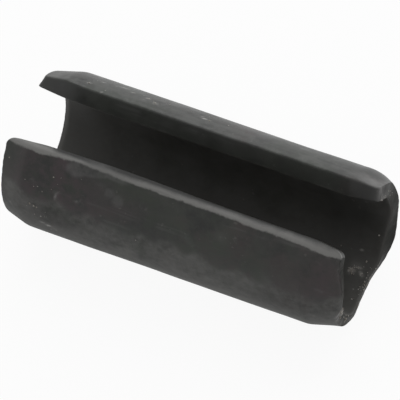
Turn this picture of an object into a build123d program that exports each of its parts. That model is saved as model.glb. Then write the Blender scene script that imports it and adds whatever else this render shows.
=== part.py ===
from build123d import *
import os
from math import cos, pi, radians, sin, sqrt, tan

# Retaining clip: one strip of blackened spring steel rolled into a split sleeve.
# Millimetres. The origin is the middle of the sleeve's axis, which runs along X.
# The slot faces up (+Z), the rolled-over near lip is on the -Y side and the
# square-cornered far lip on the +Y side. Angles go round the axis from +Y over +Z,
# so the slot is at 90 degrees, the near side at 180 and the underside at 270.

# Rolled strip
outer_diameter = 10.5
wall = 1.4
clip_length = 23.3
slot_angle = 54.6

# Narrow flat along the back, opposite the slot, on which the sleeve lies without rolling
back_flat_width = 1.8

# Long edges of the strip
near_corner_radius = 0.5
far_corner_radius = 0.1
inner_edge_radius = 0.08

# Tapered ends, each ground a little off the sleeve's axis
taper_angle = 15.6
left_taper_drop = 0.43
right_taper_drop = 0.49
left_taper_shift = -0.05
right_taper_shift = 0.09
taper_shift_angle = 27.4

# Bevels of the bore's mouths. The left one runs out before the point of the far lip.
left_mouth_length = 0.34
left_mouth_flare = 0.19
left_mouth_fade_depth = 0.3
left_mouth_fade_spread = 50
right_mouth_length = 0.1
right_mouth_flare = 0.06

# Lip corners cut back where the slot meets each end
far_left_trim_length = 2.15
far_left_trim_angle = 8.8
far_left_trim_round = 0.25
far_right_trim_length = 1.7
far_right_trim_angle = 7.5
far_right_trim_round = 0.3
near_left_trim_length = 2.6
near_left_trim_angle = 2.3
near_left_trim_round = 0.6
near_right_trim_length = 1.8
near_right_trim_angle = 3.0
near_right_trim_round = 0.35

# The ends are uneven. Each swell says how far the edge stands out there, at what angle
# it does so most, and over what angle to either side it falls away. Hollows go inwards.
left_bore_lean = 0.12
left_point_height = 0.1
left_point_bore_height = 0.4
left_point_place = 50
left_point_spread = 34

right_point_height = 0.17
right_point_bore_height = 0.36
right_point_place = 51
right_point_spread = 42
far_bulge_height = 0.07
far_bulge_place = 358
far_bulge_spread = 26
tongue_height = 0.48
tongue_place = 160
tongue_spread = 34
tongue_bore_height = 0.34
tongue_bore_place = 162
tongue_bore_spread = 48
hollow_depth = 0.34
hollow_place = 234
hollow_spread = 46
dip_depth = 0.62
dip_place = 277
dip_spread = 44
bore_hollow_depth = 0.46
bore_hollow_place = 270
bore_hollow_spread = 62
far_bore_hollow_depth = 0.3
far_bore_hollow_place = 320
far_bore_hollow_spread = 32

# Worked out from the sizes above
outer_radius = outer_diameter / 2
inner_radius = outer_radius - wall
half_length = clip_length / 2
back_flat_height = sqrt(outer_radius**2 - (back_flat_width / 2) ** 2)
near_lip_angle = 90 + slot_angle / 2
far_lip_angle = 90 - slot_angle / 2
left_end_radius = outer_radius - left_taper_drop
right_end_radius = outer_radius - right_taper_drop
whole_turn = 360
left_skin_swells = [(left_point_height, left_point_place, left_point_spread)]
left_bore_swells = [(left_point_bore_height, left_point_place, left_point_spread)]
right_skin_swells = [
    (right_point_height, right_point_place, right_point_spread),
    (far_bulge_height, far_bulge_place, far_bulge_spread),
    (tongue_height, tongue_place, tongue_spread),
    (-hollow_depth, hollow_place, hollow_spread),
    (-dip_depth, dip_place, dip_spread),
]
right_bore_swells = [
    (right_point_bore_height, right_point_place, right_point_spread),
    (tongue_bore_height, tongue_bore_place, tongue_bore_spread),
    (-bore_hollow_depth, bore_hollow_place, bore_hollow_spread),
    (-far_bore_hollow_depth, far_bore_hollow_place, far_bore_hollow_spread),
]
left_mouth_fade = [(-left_mouth_fade_depth, far_lip_angle, left_mouth_fade_spread)]
every_swell = left_skin_swells + left_bore_swells + right_skin_swells + right_bore_swells
reach = left_bore_lean + 2 * max(abs(height) for height, place, spread in every_swell)

# Room that the cutting shapes leave round the metal, and how far a rounded corner's
# own arc is carried past the end face so that it ends outside the metal
clear = 1.0
run_out = 0.03
blank_length = 2 * (half_length + reach + clear)


def around(angle, radius, x=0.0):
    """A point at an angle round the sleeve's axis."""
    return Vector(x, radius * cos(radians(angle)), radius * sin(radians(angle)))


def rolled_sleeve():
    """The strip's lengthwise section, turned round the axis from lip to lip."""
    section = Plane.XZ * Pos(Y=(inner_radius + outer_radius) / 2) * Rectangle(blank_length, wall)
    at_near_lip = Rot(X=slot_angle / 2) * section
    return revolve(at_near_lip, Axis.X, whole_turn - slot_angle)


def long_edges(sleeve, lip_angle, radius):
    """The edge of one lip that runs the whole length at the given radius."""
    corner = around(lip_angle, radius)
    return [
        edge
        for edge in sleeve.edges().filter_by(Axis.X)
        if (Vector(0, edge.center().Y, edge.center().Z) - corner).length < wall / 20
    ]


def soften_lips(sleeve):
    """Rounds the strip's long edges: the rolled-over near corner and the crisp others."""
    sleeve = fillet(long_edges(sleeve, near_lip_angle, outer_radius), near_corner_radius)
    sleeve = fillet(long_edges(sleeve, far_lip_angle, outer_radius), far_corner_radius)
    for lip_angle in (near_lip_angle, far_lip_angle):
        sleeve = fillet(long_edges(sleeve, lip_angle, inner_radius), inner_edge_radius)
    return sleeve


def back_cutter():
    """What lies below the narrow flat along the sleeve's back."""
    seated_below = (Align.CENTER, Align.CENTER, Align.MAX)
    block = Box(blank_length, 2 * back_flat_width, clear, align=seated_below)
    return Pos(Z=-back_flat_height) * block


def taper_cutter(side, end_radius, shift):
    """The ring outside one end's cone. side is -1 at the left end, 1 at the right."""
    slope = tan(radians(taper_angle))
    foot_run = reach + clear
    foot = end_radius - slope * foot_run
    rise = outer_radius + abs(shift) + clear
    x_end = side * half_length
    x_foot = x_end + side * foot_run
    x_rise = x_end - side * (rise - end_radius) / slope
    ring = Plane.XZ * Polyline((x_foot, foot), (x_rise, rise), (x_foot, rise), close=True)
    cutter = revolve(make_face(ring), Axis.X)
    return Pos(*around(taper_shift_angle, shift)) * cutter


def swell_at(angle, swells):
    """How far some swells together stand out at an angle.

    Each swell is highest at its place and falls smoothly to nothing at its spread.
    """
    height = 0.0
    for peak, place, spread in swells:
        away = abs((angle - place + whole_turn / 2) % whole_turn - whole_turn / 2)
        if away < spread:
            height += peak * (1 + cos(pi * away / spread)) / 2
    return height


def face_height(angle, radius, end_radius, skin_swells, bore_swells, lean):
    """How far an end's face stands out at an angle and radius, between skin and bore.

    lean is how far the whole face leans out from its edge at the skin to that at the bore.
    """
    at_skin = swell_at(angle, skin_swells)
    at_bore = lean + swell_at(angle, bore_swells)
    inwards = (end_radius - radius) / (end_radius - inner_radius)
    return at_skin + (at_bore - at_skin) * inwards


def end_cutter(side, height_at):
    """What lies past a surface over one end, from lip to lip.

    height_at(angle, radius) tells how far the surface stands past the nominal end.
    """
    first_angle = near_lip_angle - slot_angle / 4
    stations = 72
    step = (whole_turn - slot_angle / 2) / stations
    inside = inner_radius - clear
    outside = outer_radius + clear
    rows = []
    for index in range(stations + 1):
        angle = first_angle + index * step
        rows.append(
            [
                around(angle, radius, side * (half_length + height_at(angle, radius)))
                for radius in (inside, (inside + outside) / 2, outside)
            ]
        )
    surface = Face.make_surface_from_array_of_points(rows, tol=0.002)
    return extrude(surface, 2 * (reach + 4 * clear), dir=(side, 0, 0))


def cut_end(sleeve, side, end_radius, skin_swells, bore_swells, mouth, mouth_fade=(), lean=0.0):
    """Cuts one end to its uneven edge, and bevels the bore's mouth along it.

    mouth is the bevel's length along the bore and its flare outwards. mouth_fade lists
    the places where the flare shrinks away.
    """
    mouth_length, mouth_flare = mouth

    def face_at(angle, radius):
        return face_height(angle, radius, end_radius, skin_swells, bore_swells, lean)

    def bevel_at(angle, radius):
        mouth_radius = inner_radius + mouth_flare + swell_at(angle, mouth_fade)
        climb = (radius - mouth_radius) * mouth_length / mouth_flare
        return face_at(angle, mouth_radius) + climb

    sleeve -= end_cutter(side, face_at)
    sleeve -= end_cutter(side, bevel_at)
    return sleeve


def lip_trim(side, x_end, lip_angle, into_lip, length, angle, round_radius):
    """The corner that is cut off a lip at one end.

    side is -1 or 1 for the left or right end, and x_end is where the lip ends. into_lip
    is -1 where the lip's metal lies towards smaller angles, 1 where towards larger ones.
    """
    half_width = outer_radius * sin(radians(angle / 2))
    slope = 2 * half_width / length
    slot_side = half_width + 3 * clear
    past_end = reach + 2 * clear
    start = length + 3 * clear / slope
    deep = -half_width - 2 * round_radius
    corner = (0, -half_width)
    outline = Polyline(
        (start, slot_side),
        corner,
        (-run_out, deep),
        (-past_end, deep),
        (-past_end, slot_side),
        close=True,
    )
    shape = make_face(outline)
    at_corner = shape.vertices().sort_by_distance((corner[0], corner[1], 0))[0]
    shape = fillet(at_corner, round_radius)
    middle = lip_angle + into_lip * angle / 2
    outwards = around(middle, 1)
    slot_wards = around(middle - into_lip * 90, 1)
    inwards = Vector(-side, 0, 0)
    lift = outwards * (inner_radius - clear)
    place = Plane(Vector(x_end, 0, 0) + lift, x_dir=inwards, z_dir=inwards.cross(slot_wards))
    return extrude(place * shape, wall + 2 * clear, dir=outwards)


def left_lip_trims():
    """The corners cut off the far and the near lip at the left end."""
    point = swell_at(far_lip_angle, left_skin_swells + left_bore_swells) / 2
    x_far = -(half_length + point)
    far = (far_left_trim_length, far_left_trim_angle, far_left_trim_round)
    near = (near_left_trim_length, near_left_trim_angle, near_left_trim_round)
    return [
        lip_trim(-1, x_far, far_lip_angle, -1, *far),
        lip_trim(-1, -half_length, near_lip_angle, 1, *near),
    ]


def right_lip_trims():
    """The corners cut off the far and the near lip at the right end."""
    point = swell_at(far_lip_angle, right_skin_swells + right_bore_swells) / 2
    x_far = half_length + point
    far = (far_right_trim_length, far_right_trim_angle, far_right_trim_round)
    near = (near_right_trim_length, near_right_trim_angle, near_right_trim_round)
    return [
        lip_trim(1, x_far, far_lip_angle, -1, *far),
        lip_trim(1, half_length, near_lip_angle, 1, *near),
    ]


def retaining_clip():
    """The whole clip, one solid."""
    left_mouth = (left_mouth_length, left_mouth_flare)
    right_mouth = (right_mouth_length, right_mouth_flare)
    clip = soften_lips(rolled_sleeve()) - back_cutter()
    clip -= taper_cutter(-1, left_end_radius, left_taper_shift)
    clip -= taper_cutter(1, right_end_radius, right_taper_shift)
    left_swells = (left_skin_swells, left_bore_swells)
    right_swells = (right_skin_swells, right_bore_swells)
    clip = cut_end(
        clip, -1, left_end_radius, *left_swells, left_mouth, left_mouth_fade, left_bore_lean
    )
    clip = cut_end(clip, 1, right_end_radius, *right_swells, right_mouth)
    for trim in left_lip_trims() + right_lip_trims():
        clip -= trim
    return clip


os.makedirs("parts", exist_ok=True)
export_step(retaining_clip(), "parts/retaining_clip.step")
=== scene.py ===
import logging
import math
from collections.abc import Callable
from dataclasses import dataclass
from enum import Enum

import bpy
import numpy as np
from mathutils import Matrix, Vector


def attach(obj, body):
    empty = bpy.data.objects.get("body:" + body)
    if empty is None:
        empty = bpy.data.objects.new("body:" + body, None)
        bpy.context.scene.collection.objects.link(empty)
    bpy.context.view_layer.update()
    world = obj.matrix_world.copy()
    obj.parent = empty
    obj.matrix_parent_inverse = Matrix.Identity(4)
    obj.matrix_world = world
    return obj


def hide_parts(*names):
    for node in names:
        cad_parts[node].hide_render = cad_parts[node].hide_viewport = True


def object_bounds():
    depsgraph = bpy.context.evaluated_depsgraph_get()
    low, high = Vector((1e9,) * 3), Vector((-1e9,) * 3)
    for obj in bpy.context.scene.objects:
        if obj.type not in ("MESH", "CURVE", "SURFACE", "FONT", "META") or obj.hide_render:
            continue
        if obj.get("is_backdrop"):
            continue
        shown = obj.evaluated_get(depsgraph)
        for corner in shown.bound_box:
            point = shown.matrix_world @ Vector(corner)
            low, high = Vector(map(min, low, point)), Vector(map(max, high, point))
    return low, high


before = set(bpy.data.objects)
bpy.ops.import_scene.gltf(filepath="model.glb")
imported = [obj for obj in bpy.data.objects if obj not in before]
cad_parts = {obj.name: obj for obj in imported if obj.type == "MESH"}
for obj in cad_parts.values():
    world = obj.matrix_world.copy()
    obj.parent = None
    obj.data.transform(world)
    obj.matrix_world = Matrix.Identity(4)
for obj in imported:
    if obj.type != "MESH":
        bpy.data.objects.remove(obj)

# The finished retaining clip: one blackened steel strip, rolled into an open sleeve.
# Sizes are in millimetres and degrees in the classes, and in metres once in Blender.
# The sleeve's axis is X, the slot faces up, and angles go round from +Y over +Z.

log = logging.getLogger("retaining_clip")

MM = 0.001
MID_CORNER = 45.0
QUARTER_TURN = 90.0
HALF_TURN = 180.0
BACK_ANGLE = 270.0
FULL_TURN = 360.0
LEAST_COSINE = 0.5

Array = np.ndarray
Tone = tuple[float, float, float]


def table(kind: type, *rows: tuple) -> tuple:
    """One object of a kind for each row of its values."""
    return tuple(kind(*row) for row in rows)


def signed(angle: Array) -> Array:
    """Angles as turns from -180 to 180 degrees."""
    return (angle + HALF_TURN) % FULL_TURN - HALF_TURN


def smooth_step(value: Array) -> Array:
    """Rises from 0 to 1 without a corner while value goes from 0 to 1."""
    part = np.clip(value, 0.0, 1.0)
    return part * part * (3.0 - 2.0 * part)


def round_off(distance: Array, radius: float) -> Array:
    """How far a rounded corner lies below a sharp one, at a distance from its start."""
    into = np.clip(radius - distance, 0.0, radius)
    return radius - np.sqrt(radius**2 - into**2)


def soft_least(first: Array, second: Array, blend: float) -> Array:
    """The smaller of two values, with a rounded change from one to the other.

    Args:
        first: One set of values.
        second: The other set.
        blend: How far apart the two may be and still mix.

    Returns:
        The soft minimum.
    """
    part = np.clip(0.5 + 0.5 * (second - first) / blend, 0.0, 1.0)
    return second * (1.0 - part) + first * part - blend * part * (1.0 - part)


def soft_most(first: Array, second: Array, blend: float) -> Array:
    """The larger of two values, with a rounded change from one to the other."""
    return -soft_least(-first, -second, blend)


@dataclass(frozen=True)
class Swell:
    """A stretch of an end's edge that stands out, or in where its height is negative."""

    height: float
    place: float
    spread: float

    def at(self, angle: Array) -> Array:
        """How far the edge stands out at each angle.

        Args:
            angle: Angles round the axis.

        Returns:
            The distance at each angle.
        """
        away = np.abs(signed(angle - self.place))
        wave = self.height * (1.0 + np.cos(np.pi * away / self.spread)) / 2
        return np.where(away < self.spread, wave, 0.0)


def swells_at(angle: Array, swells: tuple[Swell, ...]) -> Array:
    """How far several swells together stand out at each angle."""
    return sum((swell.at(angle) for swell in swells), np.zeros_like(angle))


@dataclass(frozen=True)
class LipTrim:
    """The corner cut off a lip at one end."""

    length: float
    angle: float
    rounding: float
    start_blend: float = 0.08

    def at(self, inset: Array, radius: float) -> Array:
        """How many degrees the lip draws back.

        Args:
            inset: Distance in from the end.
            radius: Radius of the sleeve's skin.

        Returns:
            The draw-back at each distance.
        """
        left = soft_most(1.0 - inset / self.length, np.zeros_like(inset), self.start_blend)
        return self.angle * left + np.degrees(round_off(inset, self.rounding) / radius)


@dataclass(frozen=True)
class Ripple:
    """Smooth unevenness over the rolled strip, the same on every run."""

    height: float
    wave_along: float
    wave_round: float
    seed: int
    waves: int = 14
    slowest: float = 0.5
    fastest: float = 1.6

    def at(self, along: Array, round_arc: Array) -> Array:
        """Unevenness between 0 and the ripple's height.

        Args:
            along: Place along the axis.
            round_arc: Place round the sleeve, as an arc length.

        Returns:
            The depth at each place.
        """
        draw = np.random.default_rng(self.seed)
        total = np.zeros_like(along)
        for _ in range(self.waves):
            pace = draw.uniform(self.slowest, self.fastest)
            turn = draw.uniform(0.0, 2 * np.pi)
            phase = draw.uniform(0.0, 2 * np.pi)
            across = np.cos(turn) * along / self.wave_along
            around = np.sin(turn) * round_arc / self.wave_round
            total = total + np.sin(2 * np.pi * pace * (across + around) + phase)
        return self.height * (0.5 + 0.5 * np.tanh(total / math.sqrt(self.waves)))


@dataclass(frozen=True)
class Mark:
    """A soft-edged patch on the strip, such as a pit, a rub or a smear.

    place is along the axis, angle round it. length runs along the mark, width across
    it, and turn tips it away from the axis, in degrees. border is the width of its edge
    as a share of its size, and 0 lets it fade away from its middle.
    """

    place: float
    angle: float
    length: float
    width: float
    strength: float = 1.0
    turn: float = 0.0
    border: float = 0.0

    def at(self, along: Array, angle: Array, radius: float) -> Array:
        """How strong the mark is at each place, from 0 to its strength.

        Args:
            along: Places along the axis.
            angle: Angles round the axis.
            radius: Radius of the face that the mark lies on.

        Returns:
            The strength at each place.
        """
        across = np.radians(signed(angle - self.angle)) * radius
        run = along - self.place
        tip = math.radians(self.turn)
        lengthwise = (run * math.cos(tip) + across * math.sin(tip)) / self.length
        sideways = (across * math.cos(tip) - run * math.sin(tip)) / self.width
        away = lengthwise**2 + sideways**2
        if self.border > 0.0:
            return self.strength * smooth_step((1.0 - np.sqrt(away)) / self.border + 0.5)
        return self.strength * np.exp(-2.0 * away)


Marks = tuple[Mark, ...]


def marks_at(along: Array, angle: Array, radius: float, marks: Marks) -> Array:
    """The strongest of several marks at each place.

    Args:
        along: Places along the axis.
        angle: Angles round the axis.
        radius: Radius of the face that the marks lie on.
        marks: The marks.

    Returns:
        The strength at each place.
    """
    total = np.zeros_like(along)
    for mark in marks:
        total = np.maximum(total, mark.at(along, angle, radius))
    return total


@dataclass(frozen=True)
class EdgeBand:
    """A painted highlight: the light band where the rolled-over near lip's rounded corner catches the
    light.

    widths holds places along the axis and how wide the band is there.
    """

    widths: tuple[tuple[float, float], ...] = (
        (-11.8, 0.46), (-10.5, 0.55), (-9.2, 0.62), (-8.6, 0.6), (-8, 0.46), (-7.4, 0.38), (-6.5, 0.36),
        (-5.2, 0.4), (-3.8, 0.44), (-1.6, 0.52), (2, 0.53), (5.4, 0.57), (8.9, 0.63), (10.6, 0.78),
        (11.4, 0.78),
    )
    softness: float = 0.3
    ridge: float = 0.72
    pale_end: float = -7.9
    pale_share: float = 0.55
    wobble: Ripple = Ripple(0.05, 1.6, 9.0, seed=51)

    def reach(self, along: Array) -> Array:
        """How far the band reaches from the lip."""
        places, widths = zip(*self.widths)
        return np.interp(along, places, widths) - self.wobble.at(along, 0.0 * along)

    def at(self, along: Array, from_lip: Array) -> Array:
        """How much of the band shows.

        Args:
            along: Place along the axis.
            from_lip: Arc length from the near lip's cut face.

        Returns:
            1 inside the band and 0 outside.
        """
        return 1.0 - smooth_step((from_lip - self.reach(along)) / self.softness + 0.5)

    def across(self, along: Array, from_lip: Array) -> Array:
        """How bright the painted highlight is, from 0 at the lip to 1 at its ridge."""
        rise = from_lip / (self.reach(along) * self.ridge)
        return np.clip(rise + self.pale_share * smooth_step(self.pale_end - along), 0.0, 1.0)


@dataclass(frozen=True)
class LowBand:
    """The paler lower part of the near wall, below an uneven border: a painted reflection of the white
    floor.
    """

    border: float = 160.5
    slant: float = 0.3
    softness: float = 7.0
    end: float = 230.0
    end_fade: float = 20.0
    wobble: Ripple = Ripple(10.0, 3.0, 30.0, seed=63)

    def at(self, along: Array, angle: Array) -> Array:
        """How much of the band shows, from 0 to 1.

        Args:
            along: Places along the axis.
            angle: Angles round the axis.

        Returns:
            The share at each place.
        """
        border = self.border + self.slant * along - self.wobble.at(along, 0.0 * along)
        lower = smooth_step((angle - border) / self.softness)
        return lower * (1.0 - smooth_step((angle - self.end) / self.end_fade))


@dataclass(frozen=True)
class Wear:
    """The marks that use left on the strip, with the light and shade painted on it.

    Each row is one Mark. The end faces have tables of their own (end_wear, end_scuffs),
    and so has the bore (its painted shade, which reaches the cut faces too, and dust).
    warm_zones turn reddish and cool_zones greenish. The band is a painted highlight along
    the near lip, the low band a painted reflection of the floor, and some of the smudges
    are painted shade.
    """

    band: EdgeBand = EdgeBand()
    low_band: LowBand = LowBand()
    skin_from: float = 0.55
    skin_rise: float = 0.36
    skin_fade: float = 0.46
    under_angle: float = 250.0
    under_blend: float = 60.0
    bore_depth: float = 0.12
    streaks_start: float = -20.0
    streaks_rise: float = 50.0
    streaks_end: float = 70.0
    streaks_fade: float = 8.0
    worn: Marks = table(
        Mark,
        (-6.5, 125.3, 0.75, 0.5, 0.46, -12, 0.5), (-5.5, 122.9, 1.5, 0.42, 0.46, -10, 0.5),
        (-4.2, 121.8, 1.3, 0.26, 0.36, 6, 0.6), (-9.55, 180.2, 0.95, 0.12, 0.6),
        (-10.85, 175.5, 0.62, 0.16, 0.5, 68), (-10.15, 164.5, 0.34, 0.13, 0.4, 80),
        (-9.85, 159.8, 0.42, 0.12, 0.4, 5), (-9.3, 161.8, 0.4, 0.12, 0.36, 35),
        (-9.9, 169.5, 0.3, 0.16, 0.32, 20), (-8.05, 187.5, 0.3, 0.22, 0.6),
        (-4, 134, 0.34, 0.3, 0.24, 0, 0.6), (-3.37, 137.6, 0.4, 0.36, 0.28, 20, 0.6),
        (-4.73, 130.1, 0.3, 0.2, 0.14), (-6.8, 162.8, 0.5, 0.16, 0.24, 0, 0.7),
        (-6.35, 174, 0.36, 0.2, 0.34, 0, 0.7), (-5.4, 161.5, 0.45, 0.08, 0.3, -20),
        (-4.3, 161.9, 0.36, 0.26, 0.26, 0, 0.7), (-2.5, 163.5, 0.7, 0.24, 0.22, 10, 0.7),
        (-1.3, 170, 0.9, 0.4, 0.3, 60), (1.8, 166, 0.7, 0.3, 0.22, -20, 0.8),
        (4.6, 170, 0.8, 0.35, 0.2, 15, 0.8), (7.4, 158, 0.8, 0.5, 0.2, 60),
        (9.5, 168.1, 0.36, 0.26, 0.34, 0, 0.8), (1.72, 148.1, 0.7, 0.3, 0.16, 40),
        (3.85, 137.6, 0.6, 0.5, 0.18), (11.2, 54, 1.4, 0.9), (11.9, 198, 0.5, 0.7, 1, 10),
        (-5.3, 117.8, 1, 0.32, 0.8), (11.9, 212, 0.25, 0.5, 0.6),
    )
    scuffs: Marks = table(
        Mark,
        (-7.63, 150.2, 0.3, 0.1, 0.3, 80), (-7.52, 147.4, 0.15, 0.1, 0.26, -20),
        (-7.74, 147.6, 0.12, 0.08, 0.18, 40), (-6.12, 149, 0.2, 0.09, 0.32, 8),
        (-5.93, 147.4, 0.1, 0.07, 0.2, -60), (-8.32, 182.6, 0.55, 0.08, 0.7, 19),
        (-8.75, 181, 0.2, 0.07, 0.4, 15), (-10.98, 173, 0.16, 0.09, 0.34, 60),
        (-7.82, 186, 0.1, 0.1, 0.4), (-8.15, 188, 0.1, 0.08, 0.3), (-8.67, 55.4, 0.14, 0.1),
        (-7.52, 61.5, 0.08, 0.09, 0.5), (-5.9, 46.1, 0.16, 0.09, 0.5), (-4.88, 52.1, 0.12, 0.08, 0.7),
        (-4.75, 47.8, 0.18, 0.08, 0.6), (-4.06, 52.3, 0.2, 0.09, 0.8), (-4.34, 50.7, 0.26, 0.06, 0.5),
        (-2.58, 52, 0.05, 0.24, 0.2), (-0.71, 49.5, 0.2, 0.09, 0.85), (-0.33, 50.3, 0.12, 0.08, 0.6),
        (-8.03, 46.5, 0.2, 0.08, 0.5), (-6.7, 43, 0.5, 0.08, 0.4, 4), (11.3, 60.5, 0.5, 0.12, 0.3),
        (11.2, 50, 1, 0.9, 0.15), (11.85, 196, 0.35, 0.6, 0.38), (-11.2, 54, 0.9, 0.7, 0.08),
    )
    # Smudges on the skin. Some are painted shade, such as the one that darkens the near lip's rounded
    # tip at the right end.
    smudge: Marks = table(
        Mark,
        (-9.3, 53.4, 0.34, 0.16, 0.75, 10), (-8.72, 58.3, 0.16, 0.12, 0.5, 30),
        (-9.05, 59, 0.4, 0.14, 0.4, 20), (-5.2, 48.8, 2.4, 0.1, 0.5, -3),
        (-1.2, 51.3, 2.6, 0.12, 0.55, 5), (1.8, 56, 1.5, 0.12, 0.45, 8), (4.2, 52, 1.2, 0.1, 0.3),
        (-9.1, 147.3, 0.4, 0.2, 0.3), (-8.2, 143, 0.4, 0.2, 0.3, 20), (-6.5, 158, 0.7, 0.1, 0.4, 12),
        (7.9, 52.5, 0.7, 0.3, 0.35, 10), (10, 50, 0.9, 0.2, 0.3), (11.95, 121.5, 0.35, 0.6, 0.6),
        (12.05, 188, 0.14, 0.2, 0.8), (11.68, 196.5, 0.14, 0.12, 0.7), (-7.8, 172, 2.6, 1.5, 0.45),
        (8, 176, 3.6, 1.2, 0.4), (-2.6, 149, 1.2, 0.5, 0.25, 12), (5.5, 150, 1.6, 0.7, 0.2, -8),
        (2.8, 131, 1, 0.4, 0.2), (9.4, 141, 0.8, 0.6, 0.25, 20),
    )
    grit: Marks = table(
        Mark,
        (-8.4, 146, 1.6, 1, 0.8, 20), (-9, 166, 1.1, 1, 0.9), (-8.2, 185, 1.2, 0.5), (-3, 43, 6.5, 0.8),
        (-4.2, 50, 1.2, 0.35, 0.8), (-0.4, 50, 0.7, 0.3, 0.9), (-9.1, 55, 0.7, 0.5, 0.5),
        (11.2, 268, 1.2, 2.6), (11.6, 310, 0.9, 1.6, 0.7), (11.7, 205, 0.8, 1.6, 0.7),
        (-7.4, 117, 2.5, 0.5, 0.5), (12, 63, 0.6, 1, 0.8),
    )
    warm_zones: Marks = table(
        Mark,
        (-8.2, 148, 3.2, 3.2, 1, -6, 0.8), (-8, 176, 2.6, 1.6, 0.9), (-3, 146, 2.6, 1.6, 0.4, 10),
        (10.6, 150, 1.6, 3.6, 0.7), (7.2, 132, 1.6, 1.2, 0.2), (2, 192, 5, 1, 0.4), (8, 325, 4, 5, 0.4),
    )
    cool_zones: Marks = table(
        Mark,
        (2.6, 146, 3.6, 2.4), (6.4, 156, 3, 2.4, 0.8), (-2.4, 160, 2.4, 1.2, 0.6),
        (-11.3, 150, 0.7, 3.2, 0.8), (-7, 62, 4, 1.2, 0.7),
    )
    end_wear: Marks = table(
        Mark,
        (11.85, 187, 0.5, 0.75, 1, 0, 0.6), (11.5, 212, 0.5, 0.8, 0.75), (11.75, 47, 0.6, 1.5, 0.85),
        (12.05, 58, 0.2, 0.6, 0.8), (11.5, 18, 0.3, 1.6, 0.4),
    )
    end_scuffs: Marks = table(
        Mark,
        (11.86, 183.5, 0.22, 0.42, 0.65, 40), (11.75, 191, 0.18, 0.3, 0.5, -30),
        (11.55, 203, 0.2, 0.34, 0.26, 30), (11.4, 213, 0.14, 0.24, 0.2), (11.78, 52, 0.16, 0.3, 0.3),
        (12.02, 46, 0.16, 1, 0.22), (12, 50, 0.2, 0.4, 0.4), (11.7, 40, 0.14, 0.2, 0.2),
        (11.66, 30, 0.1, 0.22, 0.16), (11.8, 60, 0.16, 0.14, 0.3),
    )
    # Painted shade on the bore and the cut faces: darkens the inside of the bore and the too-bright ends
    # of the cut faces.
    sooty: Marks = table(
        Mark,
        (9, 333, 3.6, 3.2, 0.6), (-10.6, 325, 1.6, 2.4, 0.25), (-10.4, 61, 1.8, 1.6, 0.7),
        (11.2, 60, 1.6, 2, 0.8),
    )
    dust: Marks = table(
        Mark,
        (9.98, 278.6, 0.3, 0.24, 1, 20), (10.3, 283.5, 0.34, 0.1, 0.8),
        (10.62, 278.5, 0.3, 0.12, 0.6, -40), (10.25, 300.4, 0.4, 0.03, 0.7, 10),
        (10.1, 283, 0.6, 0.5, 0.2),
    )

    def numbers(
        self, strip: "RolledStrip", x: Array, angle: Array, depth: Array
    ) -> dict[str, Array]:
        """What the finishes read at each vertex.

        Args:
            strip: The strip that bears the marks.
            x: Places along the axis.
            angle: Angles round it.
            depth: 0 at the bore, 1 at the skin.

        Returns:
            The values of each attribute, by its name.
        """
        under = smooth_step((angle - self.under_angle) / self.under_blend)
        skin_from = self.skin_from + self.skin_rise * under
        skin = smooth_step((depth - skin_from) / (self.skin_fade * (1.0 - skin_from)))
        bore = smooth_step((self.bore_depth - depth) / self.bore_depth)
        outer, inner = strip.outer_radius, strip.inner_radius
        from_lip = np.maximum(np.radians(angle - strip.near_angle) * outer, 0.0)

        def most(marks: Marks, radius: float = outer) -> Array:
            """The strongest of several marks at each vertex."""
            return marks_at(x, angle, radius, marks)

        return {
            "skin": skin,
            "bore": bore,
            "cut": (1.0 - skin) * (1.0 - bore),
            # band and across carry the painted highlight along the near lip.
            "band": self.band.at(x, from_lip) * skin,
            "across": self.band.across(x, from_lip),
            # low carries the painted reflection of the floor.
            "low": self.low_band.at(x, angle) * skin,
            "far": self.far_share(angle) * skin,
            "taper": strip.taper_share(x),
            "worn": np.maximum(most(self.worn) * skin, most(self.end_wear)),
            "scuffs": np.maximum(most(self.scuffs) * skin, most(self.end_scuffs)),
            # Smudges on the skin, some of them painted shade, and painted shade on the bore and the cut
            # faces.
            "smudge": np.maximum(most(self.smudge) * skin, most(self.sooty, inner) * (1.0 - skin)),
            "dust": most(self.dust, inner) * (1.0 - skin),
            "grit": most(self.grit),
            "warm": most(self.warm_zones) - most(self.cool_zones),
        }

    def far_share(self, angle: Array) -> Array:
        """1 on the skin beside the far lip, which the rolls left streaky, 0 farther round."""
        before = smooth_step((self.streaks_end - signed(angle)) / self.streaks_fade)
        return before * smooth_step((signed(angle) - self.streaks_start) / self.streaks_rise)


@dataclass(frozen=True)
class SleeveEnd:
    """One end of the sleeve. side is -1 at the left end and 1 at the right.

    skin_swells and bore_swells shape the face's outline, proud moves the whole face, and
    worn_round says where its outer edge is rounded.
    """

    side: int
    end_radius: float
    taper_shift: float
    lean: float
    mouth_length: float
    mouth_flare: float
    near_trim: LipTrim
    far_trim: LipTrim
    skin_swells: tuple[Swell, ...]
    bore_swells: tuple[Swell, ...]
    proud: tuple[Swell, ...]
    mouth_fade: tuple[Swell, ...] = ()
    worn_round: tuple[Swell, ...] = ()

    def edge(self, angle: Array, depth: Array) -> Array:
        """How far the face stands out past the nominal end.

        Args:
            angle: Angle round the axis.
            depth: 0 at the bore, 1 at the skin.

        Returns:
            The height at each place.
        """
        at_skin = swells_at(angle, self.skin_swells)
        at_bore = self.lean + swells_at(angle, self.bore_swells)
        return at_skin + (at_bore - at_skin) * (1.0 - depth) + swells_at(angle, self.proud)


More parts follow.
